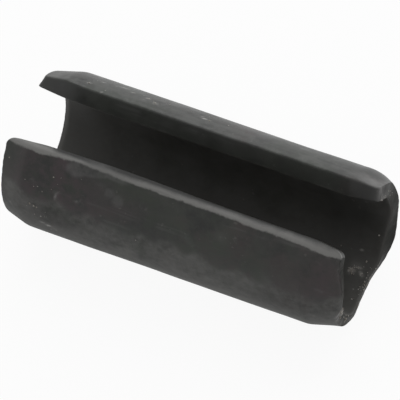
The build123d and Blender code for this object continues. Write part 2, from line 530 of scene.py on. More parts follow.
LEFT_END = SleeveEnd(
    side=-1,
    end_radius=4.82,
    taper_shift=-0.05,
    lean=0.16,
    mouth_length=0.34,
    mouth_flare=0.19,
    near_trim=LipTrim(2.6, 2.3, 0.6),
    far_trim=LipTrim(2.15, 6.3, 0.22, 0.3),
    skin_swells=table(Swell, (0.1, 50, 34)),
    bore_swells=table(Swell, (0.4, 50, 34)),
    proud=table(Swell, (0.07, 190, 130), (0.06, 60, 80), (0.09, 124, 30)),
    mouth_fade=table(Swell, (-0.3, 62.7, 50)),
)
RIGHT_END = SleeveEnd(
    side=1,
    end_radius=4.76,
    taper_shift=0.09,
    lean=0.0,
    mouth_length=0.1,
    mouth_flare=0.06,
    near_trim=LipTrim(1.8, 3.0, 0.5),
    far_trim=LipTrim(1.75, 7.6, 0.3),
    skin_swells=table(
        Swell, (0.17, 51, 42), (0.07, 358, 26), (0.45, 160, 34), (-0.34, 234, 46), (-0.62, 277, 44)
    ),
    bore_swells=table(Swell, (0.36, 51, 42), (0.34, 162, 48), (-0.46, 270, 62), (-0.3, 320, 32)),
    proud=table(
        Swell,
        (0.12, 310, 32), (0.2, 222, 34), (0.05, 270, 36), (0.03, 345, 46),
        (0.08, 294, 16), (0.07, 246, 18), (-0.06, 16, 24),
    ),
    worn_round=table(Swell, (1.0, 148, 62)),
)


@dataclass
class RolledStrip:
    """The clip's one piece: a strip with rounded edges, rolled round the axis.

    The reaches keep it inside the CAD's box. The cells say how fine its mesh is round the
    section, and the rings, which start fine at both ends, how fine it is along the axis.
    """

    name: str = "clip_body"
    outer_radius: float = 5.25
    wall: float = 1.4
    half_length: float = 11.65
    slot_angle: float = 54.6
    near_corner: float = 0.5
    far_corner: float = 0.1
    inner_edge: float = 0.08
    end_edge: float = 0.035
    end_edge_turns: tuple[float, ...] = (0.0, 22.0, 45.0, 67.0, 90.0)
    worn_rounding: float = 0.34
    skin_inset: float = 0.004
    left_reach: float = 12.146
    right_reach: float = 12.1
    side_reach: float = 5.247
    back_flat_width: float = 1.8
    taper_angle: float = 15.6
    taper_shift_angle: float = 27.4
    taper_blend: float = 0.07
    taper_border: float = 0.25
    mouth_blend: float = 0.05
    lip_bow: float = 1.75
    lip_bow_place: float = -3.8
    lip_bow_spread: float = 5.4
    end_fade: float = 3.2
    lip_fade: float = 35.0
    lip_zone: float = 14.0
    lip_cells: int = 20
    girth_cells: int = 196
    depth_cells: int = 14
    near_corner_cells: int = 5
    corner_cells: int = 2
    fine_rings_end: float = 2.6
    fine_rings_step: float = 0.085
    fine_rings_start: float = 0.06
    middle_rings: int = 134
    middle_gap: float = 0.1
    left: SleeveEnd = LEFT_END
    right: SleeveEnd = RIGHT_END
    waviness: Ripple = Ripple(0.012, 4.2, 2.6, seed=11)
    bore_waviness: Ripple = Ripple(0.02, 5.0, 2.2, seed=23)
    ragged_edge: Ripple = Ripple(0.022, 0.5, 0.42, seed=37)
    dents: Marks = table(
        Mark,
        (-7.67, 149.4, 0.35, 0.18, 1, 70), (-6.12, 148, 0.32, 0.16, 1, -20), (-9.2, 147, 0.3, 0.2),
        (-9.1, 162.5, 0.4, 0.22, 1, 10), (-8.5, 174, 0.35, 0.2, 1, 30), (-9.22, 53.6, 0.34, 0.2, 1, 15),
        (-1.86, 163.5, 0.4, 0.25), (3.85, 137.6, 0.5, 0.35), (12, 196, 0.5, 0.35, 1, 80),
    )
    dent_depth: float = 0.05
    raised: Marks = table(
        Mark,
        (-7.5, 206, 7.5, 2.2), (-5, 26, 12, 2, 0.7), (9.5, 26, 4.5, 2, 0.8), (10.9, 25, 0.9, 1.8, 2),
        (11.95, 26, 0.55, 1.8, -1.5), (3, 206, 5, 2.2, 0.5), (11.7, 206, 0.7, 1.8, 0.7),
    )
    raised_height: float = 0.05
    wear: Wear = Wear()

    @property
    def inner_radius(self) -> float:
        """Radius of the bore."""
        return self.outer_radius - self.wall

    @property
    def back_flat_height(self) -> float:
        """Distance from the axis to the narrow flat along the back."""
        return math.sqrt(self.outer_radius**2 - (self.back_flat_width / 2) ** 2)

    @property
    def near_angle(self) -> float:
        """Angle of the near lip's cut face."""
        return QUARTER_TURN + self.slot_angle / 2

    @property
    def turn(self) -> float:
        """How far round the strip reaches, in degrees."""
        return FULL_TURN - self.slot_angle

    def corner(
        self, rounding: float, outside: bool, start: float, stop: float, cells: int
    ) -> tuple[Array, Array]:
        """Points round one long corner of the strip.

        Args:
            rounding: The corner's radius.
            outside: True at the skin, False at the bore.
            start: Where to begin, 0 at the cut face and 90 at the skin or bore.
            stop: Where to end, on the same scale.
            cells: How many cells the stretch gets.

        Returns:
            Degrees from the cut face, and radii.
        """
        turn = np.radians(np.linspace(start, stop, cells + 1))
        rise = rounding * (1.0 - np.sin(turn))
        radii = self.outer_radius - rise if outside else self.inner_radius + rise
        return np.degrees(rounding * (1.0 - np.cos(turn)) / radii), radii

    def row(self, near: float, far: float, outside: bool, near_cells: int) -> Array:
        """Degrees and radii along the skin or bore, between the middles of its two corners.

        Args:
            near: The near corner's radius.
            far: The far corner's radius.
            outside: True at the skin, False at the bore.
            near_cells: How many cells half of the near corner gets.

        Returns:
            Two rows, the angles and the radii.
        """
        far_cells = self.corner_cells
        near_angles, near_radii = self.corner(near, outside, MID_CORNER, QUARTER_TURN, near_cells)
        far_angles, far_radii = self.corner(far, outside, QUARTER_TURN, MID_CORNER, far_cells)
        far_angles = self.turn - far_angles
        middle = self.girth_cells - near_cells - far_cells - self.lip_cells
        fine = np.linspace(near_angles[-1], self.lip_zone, self.lip_cells + 1)[1:]
        coarse = np.linspace(self.lip_zone, far_angles[0], middle + 1)[1:-1]
        flat = np.concatenate([fine, coarse])
        angles = np.concatenate([near_angles, flat, far_angles])
        radii = np.concatenate([near_radii, np.full(flat.shape, near_radii[-1]), far_radii])
        return np.stack([angles, radii])

    def column(self, corner: float, outer_cells: int) -> Array:
        """Degrees and radii up a cut face, between the middles of its two corners.

        Args:
            corner: The outer corner's radius.
            outer_cells: How many cells half of that corner gets.

        Returns:
            Two rows, the angles and the radii.
        """
        cells = self.corner_cells
        low_angles, low_radii = self.corner(self.inner_edge, False, MID_CORNER, 0.0, cells)
        top_angles, top_radii = self.corner(corner, True, 0.0, MID_CORNER, outer_cells)
        middle = self.depth_cells - outer_cells - cells
        radii = np.linspace(low_radii[-1], top_radii[0], middle + 1)[1:-1]
        angles = np.concatenate([low_angles, np.zeros_like(radii), top_angles])
        return np.stack([angles, np.concatenate([low_radii, radii, top_radii])])

    def corner_depth(self, from_lip: Array) -> Array:
        """Depth of the rolled-over corner's outline at an arc length from the near lip."""
        return 1.0 - round_off(from_lip, self.near_corner) / self.wall

    def section(self) -> tuple[Array, Array]:
        """The strip's cross-section as a grid from lip to lip and from bore to skin.

        Returns:
            Degrees from the near lip and radii, each girth_cells + 1 by depth_cells + 1.
        """
        skin = self.row(self.near_corner, self.far_corner, True, self.near_corner_cells)
        bore = self.row(self.inner_edge, self.inner_edge, False, self.corner_cells)
        near = self.column(self.near_corner, self.near_corner_cells)
        far = self.column(self.far_corner, self.corner_cells)
        far[0] = self.turn - far[0]
        across = ((skin[0] + bore[0]) / 2 / self.turn)[:, None]
        up = np.linspace(0.0, 1.0, self.depth_cells + 1)[None, :]
        grid = []
        for part in range(2):
            ruled = bore[part][:, None] * (1 - up) + skin[part][:, None] * up
            sides = near[part][None, :] * (1 - across) + far[part][None, :] * across
            low = bore[part][0] * (1 - across) + bore[part][-1] * across
            top = skin[part][0] * (1 - across) + skin[part][-1] * across
            values = ruled + sides - (low * (1 - up) + top * up)
            values[:, 0], values[:, -1] = bore[part], skin[part]
            values[0, :], values[-1, :] = near[part], far[part]
            grid.append(values)
        return grid[0], grid[1]

    def stations(self) -> tuple[Array, Array]:
        """Where the section is repeated along the axis.

        Returns:
            Places along the axis, and how far the section is drawn in at each, which
            rounds the edges of both ends.
        """
        turns = np.radians(np.array(self.end_edge_turns))
        run_in = self.end_edge * (1.0 - np.cos(turns))
        draw_in = self.end_edge * (1.0 - np.sin(turns))
        start = self.end_edge + self.fine_rings_start
        fine = np.arange(start, self.fine_rings_end, self.fine_rings_step)
        limit = self.half_length - fine[-1] - self.middle_gap
        middle = np.linspace(-limit, limit, self.middle_rings)
        from_end = np.concatenate([run_in, fine])
        draws = np.concatenate([draw_in, np.zeros_like(fine)])
        left, right = from_end - self.half_length, (self.half_length - from_end)[::-1]
        places = np.concatenate([left, middle, right])
        return places, np.concatenate([draws, np.zeros_like(middle), draws[::-1]])

    def place(
        self, degrees: Array, radii: Array, along: Array, draw_in: Array
    ) -> tuple[Array, Array, Array, Array]:
        """Carries points of the plain strip to their places on the real one.

        Args:
            degrees: Degrees from the near lip's cut face.
            radii: Radii in the plain section.
            along: Places along the axis, between the nominal ends.
            draw_in: How far the section is drawn in there.

        Returns:
            Places along the axis, angles round it, radii, and depths from 0 to 1.
        """
        outer = self.outer_radius
        depth = (radii - self.inner_radius) / self.wall + np.zeros_like(along)
        angle = self.near_angle + degrees
        arc = np.radians(angle) * outer
        ragged = self.ragged_edge.at(depth * self.wall, arc)
        x = along + np.zeros_like(angle)
        near_draw = np.degrees(draw_in / outer) + np.zeros_like(angle)
        far_draw = near_draw.copy()
        for end in (self.left, self.right):
            inset = self.half_length - end.side * along
            height = end.edge(angle, depth) - ragged
            x = x + end.side * height * smooth_step(1.0 - inset / self.end_fade)
            near_draw = near_draw + end.near_trim.at(inset, outer)
            far_draw = far_draw + end.far_trim.at(inset, outer)
        x = np.clip(x, -self.left_reach, self.right_reach)
        bow = np.exp(-(((along - self.lip_bow_place) / self.lip_bow_spread) ** 2))
        low, high = self.limits(x, angle)
        near_part = smooth_step(1.0 - degrees / self.lip_fade)
        far_part = smooth_step(1.0 - (self.turn - degrees) / self.lip_fade)
        high = high - self.waviness.at(x, arc) - draw_in - self.skin_inset
        high = high - self.dent_depth * marks_at(x, angle, outer, self.dents)
        high = high + self.raised_height * sum(mark.at(x, angle, outer) for mark in self.raised)
        side = np.maximum(np.abs(np.cos(np.radians(angle))), LEAST_COSINE)
        high = np.minimum(high, self.side_reach / side)
        low = low + self.bore_waviness.at(x, arc) + draw_in
        before = self.corner_depth(np.radians(degrees) * outer)
        after = self.corner_depth(np.radians(degrees + near_draw * near_part) * outer)
        depth = depth * after / before
        angle = angle + (near_draw - self.lip_bow * bow) * near_part - far_draw * far_part
        return x, angle, low + depth * (high - low), depth

    def limits(self, x: Array, angle: Array) -> tuple[Array, Array]:
        """Radii of the bore and the skin, with the tapers and the bevelled mouths.

        Args:
            x: Places along the axis.
            angle: Angles round it.

        Returns:
            The bore's radii and the skin's.
        """
        low = np.full_like(x, self.inner_radius)
        high = np.full_like(x, self.outer_radius)
        slope = math.tan(math.radians(self.taper_angle))
        off_axis = np.cos(np.radians(angle - self.taper_shift_angle))
        for end in (self.left, self.right):
            inset = self.half_length - end.side * x
            cone = end.end_radius + slope * inset + end.taper_shift * off_axis
            high = soft_least(high, cone, self.taper_blend)
            mouth = self.inner_radius + end.mouth_flare + swells_at(angle, end.mouth_fade)
            mouth_depth = (mouth - self.inner_radius) / (end.end_radius - self.inner_radius)
            from_edge = inset + end.edge(angle, mouth_depth)
            bevel = mouth - from_edge * end.mouth_flare / end.mouth_length
            low = soft_most(low, bevel, self.mouth_blend)
            from_face = inset + end.edge(angle, np.ones_like(angle))
            rounded = round_off(from_face, self.worn_rounding)
            high = high - rounded * swells_at(angle, end.worn_round)
        off_back = np.maximum(np.cos(np.radians(angle - BACK_ANGLE)), LEAST_COSINE)
        return low, np.minimum(high, self.back_flat_height / off_back)

    def taper_share(self, x: Array) -> Array:
        """1 on the left taper, -1 on the right one and 0 between them.

        Args:
            x: Places along the axis.

        Returns:
            The value at each place.
        """
        share = np.zeros_like(x)
        slope = math.tan(math.radians(self.taper_angle))
        for end in (self.left, self.right):
            start = (self.outer_radius - end.end_radius) / slope
            inset = self.half_length - end.side * x
            share = share - end.side * smooth_step((start - inset) / self.taper_border + 0.5)
        return share

    def flat_mesh(self) -> bpy.types.Mesh:
        """The strip before rolling, with its marks as attributes.

        Returns:
            A mesh whose vertices hold the place along the axis, the place round the
            sleeve as an arc of the outer radius, and the radius.
        """
        degrees, radii = self.section()
        places, draws = self.stations()
        rim = self.rim_order()
        around = len(rim)
        across, up = rim[:, 0], rim[:, 1]
        outline = (degrees[across, up][None, :], radii[across, up][None, :])
        parts = [self.place(*outline, places[:, None], draws[:, None])]
        faces = self.tube_faces(len(places), around)
        start = len(places) * around
        index_of = {tuple(pair): number for number, pair in enumerate(rim.tolist())}
        inside = (degrees[1:-1, 1:-1], radii[1:-1, 1:-1])
        flat = np.ones(inside[0].shape)
        for last in (0, len(places) - 1):
            parts.append(self.place(*inside, places[last] * flat, draws[last] * flat))
            faces += self.cap_faces(degrees.shape, index_of, last * around, start, last == 0)
            start += flat.size
        x, angle, radius, depth = (
            np.concatenate([part[number].reshape(-1) for part in parts]) for number in range(4)
        )
        arc = np.radians(angle) * self.outer_radius
        mesh = bpy.data.meshes.new(self.name)
        mesh.from_pydata((np.stack([x, arc, radius], 1) * MM).tolist(), [], faces)
        for name, values in self.wear.numbers(self, x, angle, depth).items():
            store(mesh, name, values)
        ground = np.ones(len(x))
        edge_rings = len(self.end_edge_turns) - 1
        ground[edge_rings * around : (len(places) - edge_rings) * around] = 0.0
        store(mesh, "ground", ground)
        return mesh

    def rim_order(self) -> Array:
        """Grid places round the section: up the near lip, along the skin, down and back.

        Returns:
            Pairs of numbers, across and up.
        """
        wide, deep = self.girth_cells, self.depth_cells
        up = [(0, number) for number in range(deep)]
        over = [(number, deep) for number in range(wide)]
        down = [(wide, deep - number) for number in range(deep)]
        back = [(wide - number, 0) for number in range(wide)]
        return np.array(up + over + down + back)

    @staticmethod
    def tube_faces(rings: int, around: int) -> list[tuple[int, ...]]:
        """Faces of the sides, between each two neighbouring rings.

        Args:
            rings: How many rings there are.
            around: How many vertices each ring has.

        Returns:
            The faces as tuples of vertex numbers.
        """
        ring, step = np.meshgrid(np.arange(rings - 1), np.arange(around), indexing="ij")
        after = (step + 1) % around
        low, high = ring * around, (ring + 1) * around
        quads = np.stack([low + after, high + after, high + step, low + step], -1)
        return [tuple(quad) for quad in quads.reshape(-1, 4).tolist()]

    @staticmethod
    def cap_faces(
        shape: tuple[int, int], rim: dict[tuple[int, int], int], ring: int, start: int, first: bool
    ) -> list[tuple[int, ...]]:
        """Faces of one end.

        Args:
            shape: Points of the section from lip to lip, and from bore to skin.
            rim: Where each outer point of the section stands in its ring.
            ring: The first vertex of the ring that the end closes.
            start: The first of the end's own vertices.
            first: True for the left end, whose faces turn the other way.

        Returns:
            The faces as tuples of vertex numbers.
        """
        wide, deep = shape

        def vertex(across: int, up: int) -> int:
            """The vertex at one place of the grid.

            Args:
                across: Its number from lip to lip.
                up: Its number from bore to skin.

            Returns:
                The vertex's number.
            """
            if (across, up) in rim:
                return ring + rim[(across, up)]
            return start + (across - 1) * (deep - 2) + up - 1

        faces = []
        for across in range(wide - 1):
            for up in range(deep - 1):
                steps = ((0, 0), (0, 1), (1, 1), (1, 0))
                quad = tuple(vertex(across + side, up + rise) for side, rise in steps)
                faces.append(quad[::-1] if first else quad)
        return faces

    def build(self, finish: "BlackenedSteel", ground: "BlackenedSteel") -> bpy.types.Object:
        """Rolls the strip, dresses it and puts it in place of the CAD node.

        Args:
            finish: The finish of the sleeve.
            ground: The duller finish of both end faces.

        Returns:
            The finished piece.
        """
        rolling = Rolling(self.outer_radius * MM)
        finishes = {"Finish": finish.material(), "End Finish": ground.material()}
        values = {**rolling.sizes(), **finishes}
        body = settle(self.flat_mesh(), rolling.tree(), values, self.name)
        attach(body, "root")
        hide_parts("retaining_clip")
        log.info("%s: %d faces", body.name, len(body.data.polygons))
        return body


def store(mesh: bpy.types.Mesh, name: str, values: Array) -> None:
    """Stores one number for each vertex."""
    layer = mesh.attributes.new(name, "FLOAT", "POINT")
    layer.data.foreach_set("value", values.astype(np.float32))


def place_object(name: str, data: bpy.types.ID) -> bpy.types.Object:
    """Puts a mesh, a lamp or a camera into the scene.

    Args:
        name: The object's name.
        data: What it shows.

    Returns:
        The object.
    """
    thing = bpy.data.objects.new(name, data)
    bpy.context.scene.collection.objects.link(thing)
    return thing


def operator(operation: str, swapped: bool = False) -> Callable[["Value", "Value | float"], "Value"]:
    """A method that puts two values through a Math node.

    Args:
        operation: What the node does.
        swapped: True where the second value goes first.

    Returns:
        The method.
    """

    def method(self: "Value", other: "Value | float") -> "Value":
        """A Math node's result."""
        pair = (other, self) if swapped else (self, other)
        return self.nodes.math(operation, *pair)

    return method


@dataclass(frozen=True)
class Value:
    """A node's result, which takes part in sums as numbers do."""

    nodes: "NodeTree"
    socket: bpy.types.NodeSocket

    __add__ = operator("ADD")
    __sub__ = operator("SUBTRACT")
    __rsub__ = operator("SUBTRACT", swapped=True)
    __mul__ = operator("MULTIPLY")
    __truediv__ = operator("DIVIDE")
    at_least = operator("MAXIMUM")

    def clamped(self) -> "Value":
        """The same Math node, held between 0 and 1."""
        self.socket.node.use_clamp = True
        return self

    def ramp(self, low: float, high: float) -> "Value":
        """The value from low to high, spread smoothly over 0 to 1."""
        inputs = {"Value": self, "From Min": low, "From Max": high}
        return self.nodes.out("ShaderNodeMapRange", inputs, interpolation_type="SMOOTHSTEP")


class NodeTree:
    """A small helper that places nodes and joins them by name."""

    def __init__(self, tree: bpy.types.NodeTree) -> None:
        """Starts on a shader or geometry node tree."""
        self.tree = tree

    def add(self, kind: str, inputs: dict | None = None, **settings) -> bpy.types.Node:
        """Adds a node.

        Args:
            kind: The node's type.
            inputs: What goes into its sockets: results of other nodes, or plain values.
            **settings: The node's own properties.

        Returns:
            The node.
        """
        node = self.tree.nodes.new(kind)
        for name, value in settings.items():
            setattr(node, name, value)
        for key, value in (inputs or {}).items():
            socket = node.inputs[key]
            if isinstance(value, Value):
                self.tree.links.new(value.socket, socket)
            else:
                socket.default_value = (*value, 1.0) if socket.type == "RGBA" else value
        return node

    def out(self, kind: str, inputs: dict | None = None, output: int = 0, **settings) -> Value:
        """Adds a node and gives one of its results."""
        return Value(self, self.add(kind, inputs, **settings).outputs[output])

    def results(self, kind: str, inputs: dict | None = None, **settings) -> dict[str, Value]:
        """Adds a node and gives all its results by name."""
        outputs = self.add(kind, inputs, **settings).outputs
        return {socket.name: Value(self, socket) for socket in outputs}

    def math(self, operation: str, first: Value | float, second: Value | float) -> Value:
        """A Math node's result."""
        return self.out("ShaderNodeMath", {0: first, 1: second}, operation=operation)

    def scaled(self, vector: Value, scale: Value | float) -> Value:
        """A vector made longer or shorter."""
        return self.out("ShaderNodeVectorMath", {0: vector, "Scale": scale}, operation="SCALE")

    def noise(
        self, place: Value, scale: Value | float, detail: float, rough: float = 0.5, output: int = 0
    ) -> Value:
        """A noise pattern at a place: its strength, or its colour as output 1."""
        inputs = {"Vector": place, "Scale": scale, "Detail": detail, "Roughness": rough}
        return self.out("ShaderNodeTexNoise", inputs, output)

    def mix(self, share: Value, first: Value | Tone, second: Value | Tone) -> Value:
        """Two colours mixed."""
        return self.out("ShaderNodeMix", {0: share, 6: first, 7: second}, 2, data_type="RGBA")

    def group(self, group: bpy.types.NodeTree, **inputs) -> dict[str, Value]:
        """Places a node group with its values and gives its results by name."""
        return self.results("ShaderNodeGroup", inputs, node_tree=group)

    def attribute(self, name: str) -> Value:
        """One of the piece's own numbers, for a finish."""
        return self.out("ShaderNodeAttribute", output=2, attribute_name=name)

    def stored(self, name: str) -> Value:
        """One of the piece's own numbers, for its shape."""
        return self.out("GeometryNodeInputNamedAttribute", {"Name": name}, data_type="FLOAT")

    def sockets(self, way: str, kinds: dict[str, str]) -> None:
        """Gives the tree its named inputs or outputs, each with its kind."""
        for name, kind in kinds.items():
            self.tree.interface.new_socket(name, in_out=way, socket_type="NodeSocket" + kind)

    def dress(self, geometry: Value, material: Value, **selection: Value) -> Value:
        """A Set Material node's result."""
        inputs = {"Geometry": geometry, "Material": material, **selection}
        return self.out("GeometryNodeSetMaterial", inputs)


def new_material(name: str) -> tuple[bpy.types.Material, NodeTree]:
    """Starts a material without nodes.

    Args:
        name: The material's name.

    Returns:
        The material, and its tree, ready for nodes.
    """
    material = bpy.data.materials.new(name)
    material.use_nodes = True
    material.node_tree.nodes.clear()
    return material, NodeTree(material.node_tree)


def new_shape(name: str, values: dict[str, float], finishes: tuple[str, ...]) -> NodeTree:
    """Starts a geometry node tree.

    Args:
        name: The tree's name.
        values: Its number inputs. Only their names and kinds are read.
        finishes: Its material inputs.

    Returns:
        The tree, ready for nodes.
    """
    nodes = NodeTree(bpy.data.node_groups.new(name, "GeometryNodeTree"))
    kinds = {label: type(value).__name__.title() for label, value in values.items()}
    geometry = {"Geometry": "Geometry"}
    nodes.sockets("INPUT", {**geometry, **kinds, **dict.fromkeys(finishes, "Material")})
    nodes.sockets("OUTPUT", geometry)
    return nodes


def settle(mesh: bpy.types.Mesh, nodes: NodeTree, values: dict, name: str) -> bpy.types.Object:
    """Runs a geometry node tree on a mesh and keeps the result as a plain mesh.

    Args:
        mesh: The mesh that the tree starts from.
        nodes: The tree.
        values: Values for its named inputs.
        name: The finished piece's name.

    Returns:
        The finished piece, at the origin.
    """
    start = place_object("start", mesh)
    modifier = start.modifiers.new("shape", "NODES")
    modifier.node_group = nodes.tree
    for item in nodes.tree.interface.items_tree:
        if item.in_out == "INPUT" and item.name in values:
            modifier[item.identifier] = values[item.name]
    graph = bpy.context.evaluated_depsgraph_get()
    result = bpy.data.meshes.new_from_object(start.evaluated_get(graph), depsgraph=graph)
    result.name = name
    result.shade_smooth()
    bpy.data.objects.remove(start)
    return place_object(name, result)


@dataclass(frozen=True)
class Rolling:
    """Rolls a flat strip round the axis and pits its skin."""

    roll_radius: float
    pit_depth: float = 0.02 * MM
    pit_scale: float = 1300.0
    pit_share: float = 0.6
    pit_edge: float = 9.0
    end_share: float = 0.6
    seed: float = 4.0

    def sizes(self) -> dict[str, float]:
        """The node tree's number inputs: each field under its own name."""
        return {name.replace("_", " ").title(): value for name, value in vars(self).items()}

    def tree(self) -> NodeTree:
        """Builds the node tree that rolls the strip.

        Returns:
            The tree.
        """
        nodes = new_shape("roll_the_strip", self.sizes(), ("Finish", "End Finish"))
        given = nodes.results("NodeGroupInput")
        position = nodes.out("GeometryNodeInputPosition")
        flat = nodes.results("ShaderNodeSeparateXYZ", {0: position})
        angle = flat["Y"] / given["Roll Radius"]
        rolled = self.round_axis(nodes, flat["X"], angle, flat["Z"])
        pattern = nodes.out(
            "ShaderNodeTexNoise",
            {"Vector": rolled, "W": given["Seed"], "Scale": given["Pit Scale"], "Detail": 2.0},
            noise_dimensions="4D",
        )
        pits = ((pattern - given["Pit Share"]) * given["Pit Edge"]).clamped()
        radius = flat["Z"] - pits * nodes.stored("skin") * given["Pit Depth"]
        place = self.round_axis(nodes, flat["X"], angle, radius)
        inputs = {"Geometry": given["Geometry"], "Position": place}
        moved = nodes.out("GeometryNodeSetPosition", inputs)
        whole = nodes.out("GeometryNodeRealizeInstances", {"Geometry": moved})
        dressed = nodes.dress(whole, given["Finish"])
        on_end = nodes.math("GREATER_THAN", nodes.stored("ground"), given["End Share"])
        finished = nodes.dress(dressed, given["End Finish"], Selection=on_end)
        nodes.add("NodeGroupOutput", {"Geometry": finished})
        return nodes

    @staticmethod
    def round_axis(nodes: NodeTree, x: Value, angle: Value, radius: Value) -> Value:
        """The point at an angle and radius round the X axis.

        Args:
            nodes: The tree to work in.
            x: Place along the axis.
            angle: In radians.
            radius: Distance from the axis.

        Returns:
            The point.
        """
        y = radius * nodes.math("COSINE", angle, 0.0)
        z = radius * nodes.math("SINE", angle, 0.0)
        return nodes.out("ShaderNodeCombineXYZ", {"X": x, "Y": y, "Z": z})


class Seat(Enum):
    """Which face of the sleeve a fleck sticks to."""

    BORE = "bore"
    SKIN = "skin"
    RIGHT_END = "right end"


@dataclass(frozen=True)
class FleckPatch:
    """A cluster of pale flecks.

    place is measured along the axis, or on the right end from 0 at the bore to 1 at the
    skin. The reaches say how far the cluster spreads.
    """

    place: float
    angle: float
    reach_along: float
    reach_round: float
    count: int
    size: float
    seat: Seat = Seat.BORE


@dataclass
class Flecks:
    """Flecks of grit that stick to the clip, most of them inside the right mouth.

    Each row of patches is one FleckPatch. A row of skin_specks is a place, an angle and a
    size, and a row of rim_specks is an angle and a size.
    """

    strip: RolledStrip
    name: str = "flecks"
    seed: int = 5
    spread: float = 0.5
    smallest: float = 0.5
    largest: float = 1.3
    sunk: float = 0.03
    sunk_in_end: float = 0.005
    rim_depth: float = 0.25
    edge_margin: float = 0.05
    flatness: float = 0.6
    narrowness: float = 0.8
    lump_scale: float = 9000.0
    lump_height: float = 0.06 * MM
    patches: tuple[FleckPatch, ...] = table(
        FleckPatch,
        (9.98, 278.4, 0.28, 3.2, 34, 0.11), (10.3, 283.5, 0.36, 2.2, 12, 0.09),
        (10.66, 277.6, 0.1, 1.6, 5, 0.11), (10.67, 291.1, 0.02, 0.2, 3, 0.15),
        (8.72, 297.5, 0.02, 0.2, 2, 0.1), (10.96, 319, 0.02, 0.3, 2, 0.1),
        (-4.7, 45, 1.2, 3, 8, 0.08, Seat.SKIN), (-1.5, 44, 1.2, 3, 6, 0.08, Seat.SKIN),
        (-4, 44, 3.6, 4, 26, 0.07, Seat.SKIN), (-9.1, 165, 0.3, 2, 4, 0.07, Seat.SKIN),
        (-8.3, 172, 0.3, 2, 4, 0.07, Seat.SKIN), (0.3, 184.5, 0.2, 3, 9, 0.16, Seat.RIGHT_END),
        (0.4, 193, 0.3, 4, 9, 0.14, Seat.RIGHT_END), (0.3, 207, 0.3, 8, 9, 0.13, Seat.RIGHT_END),
        (0.2, 40, 0.3, 14, 8, 0.1, Seat.RIGHT_END), (0.3, 18, 0.3, 9, 6, 0.1, Seat.RIGHT_END),
        (0.2, 270, 0.4, 24, 22, 0.11, Seat.RIGHT_END), (0.3, 243, 0.5, 10, 8, 0.11, Seat.RIGHT_END),
        (11.08, 268, 0.12, 22, 18, 0.1),
    )
    skin_specks: tuple[tuple[float, ...], ...] = (
        (-9.83, 145, 0.11), (-9.19, 148.1, 0.12), (-8.91, 147, 0.11), (-8.57, 149.7, 0.11),
        (-7.93, 136.4, 0.14), (-7.43, 135, 0.15), (-7.58, 140.4, 0.12), (-7.96, 145.7, 0.11),
        (-7.37, 145, 0.11), (-6.06, 131.1, 0.1), (-9.66, 167, 0.11), (-9.42, 163.9, 0.14),
        (-9.14, 165, 0.16), (-8.93, 165.4, 0.11), (-8.33, 167.5, 0.11), (-9.14, 173.4, 0.12),
        (-8.26, 171.9, 0.1), (-8.71, 173.9, 0.12), (-11.31, 134.6, 0.1), (-11.4, 128.5, 0.11),
        (-1.86, 163.5, 0.1), (-7.82, 190.5, 0.11), (-8.15, 191.5, 0.1), (-8.67, 55.4, 0.19),
        (-7.4, 57.5, 0.11), (-5.9, 46.1, 0.15), (-4.88, 52.1, 0.15), (-4.75, 47.8, 0.15),
        (-4.06, 52.3, 0.19), (-4.2, 51.2, 0.12), (-0.71, 49.5, 0.19), (-0.33, 50.3, 0.14),
        (-8.03, 46.5, 0.14), (-6.7, 44, 0.12), (-3.3, 46, 0.12), (0.9, 47, 0.11), (-2, 45.5, 0.12),
    )
    rim_specks: tuple[tuple[float, ...], ...] = (
        (272, 0.13), (269.5, 0.11), (266.5, 0.1), (262, 0.12), (257.5, 0.09), (252, 0.13), (245.5, 0.1),
        (278, 0.1), (288, 0.11), (293.5, 0.09), (305, 0.09), (274.5, 0.08), (259.5, 0.08), (248.5, 0.09),
    )

    def points(self) -> tuple[Array, Array]:
        """Where the flecks lie, half sunk into the steel.

        Returns:
            Their places in metres, and their sizes.
        """
        draw = np.random.default_rng(self.seed)
        places, sizes = [], []
        on_skin = ((place, angle, 0, 0, 1, size, Seat.SKIN) for place, angle, size in self.skin_specks)
        on_rim = (
            (self.rim_depth, angle, 0, 0, 1, size, Seat.RIGHT_END) for angle, size in self.rim_specks
        )
        for patch in (*self.patches, *table(FleckPatch, *on_skin, *on_rim)):
            along = patch.place + patch.reach_along * draw.normal(0.0, self.spread, patch.count)
            angle = patch.angle + patch.reach_round * draw.normal(0.0, self.spread, patch.count)
            along, radius = self.seated(patch.seat, along, angle)
            turn = np.radians(angle)
            places.append(np.stack([along, radius * np.cos(turn), radius * np.sin(turn)], 1))
            sizes.append(patch.size * draw.uniform(self.smallest, self.largest, patch.count))
        return np.concatenate(places) * MM, np.concatenate(sizes) * MM

    def seated(self, seat: Seat, along: Array, angle: Array) -> tuple[Array, Array]:
        """Puts places on one face of the sleeve.

        Args:
            seat: The face.
            along: Places along the axis, or shares of the wall on the right end.
            angle: Angles round the axis.

        Returns:
            Places along the axis, and radii.
        """
        if seat is Seat.RIGHT_END:
            share = np.clip(along, self.edge_margin, 1.0 - self.edge_margin)
            face = self.strip.half_length + self.strip.right.edge(angle, share)
            low, high = self.strip.limits(face, angle)
            return face - self.sunk_in_end, low + share * (high - low)
        low, high = self.strip.limits(along, angle)
        return along, high - self.sunk if seat is Seat.SKIN else low

    def sizes(self) -> dict[str, float]:
        """The node tree's number inputs.

        Returns:
            Each input by its name.
        """
        return {
            "Flatness": self.flatness,
            "Narrowness": self.narrowness,
            "Lump Scale": self.lump_scale,
            "Lump Height": self.lump_height,
            "Seed": self.seed,
        }

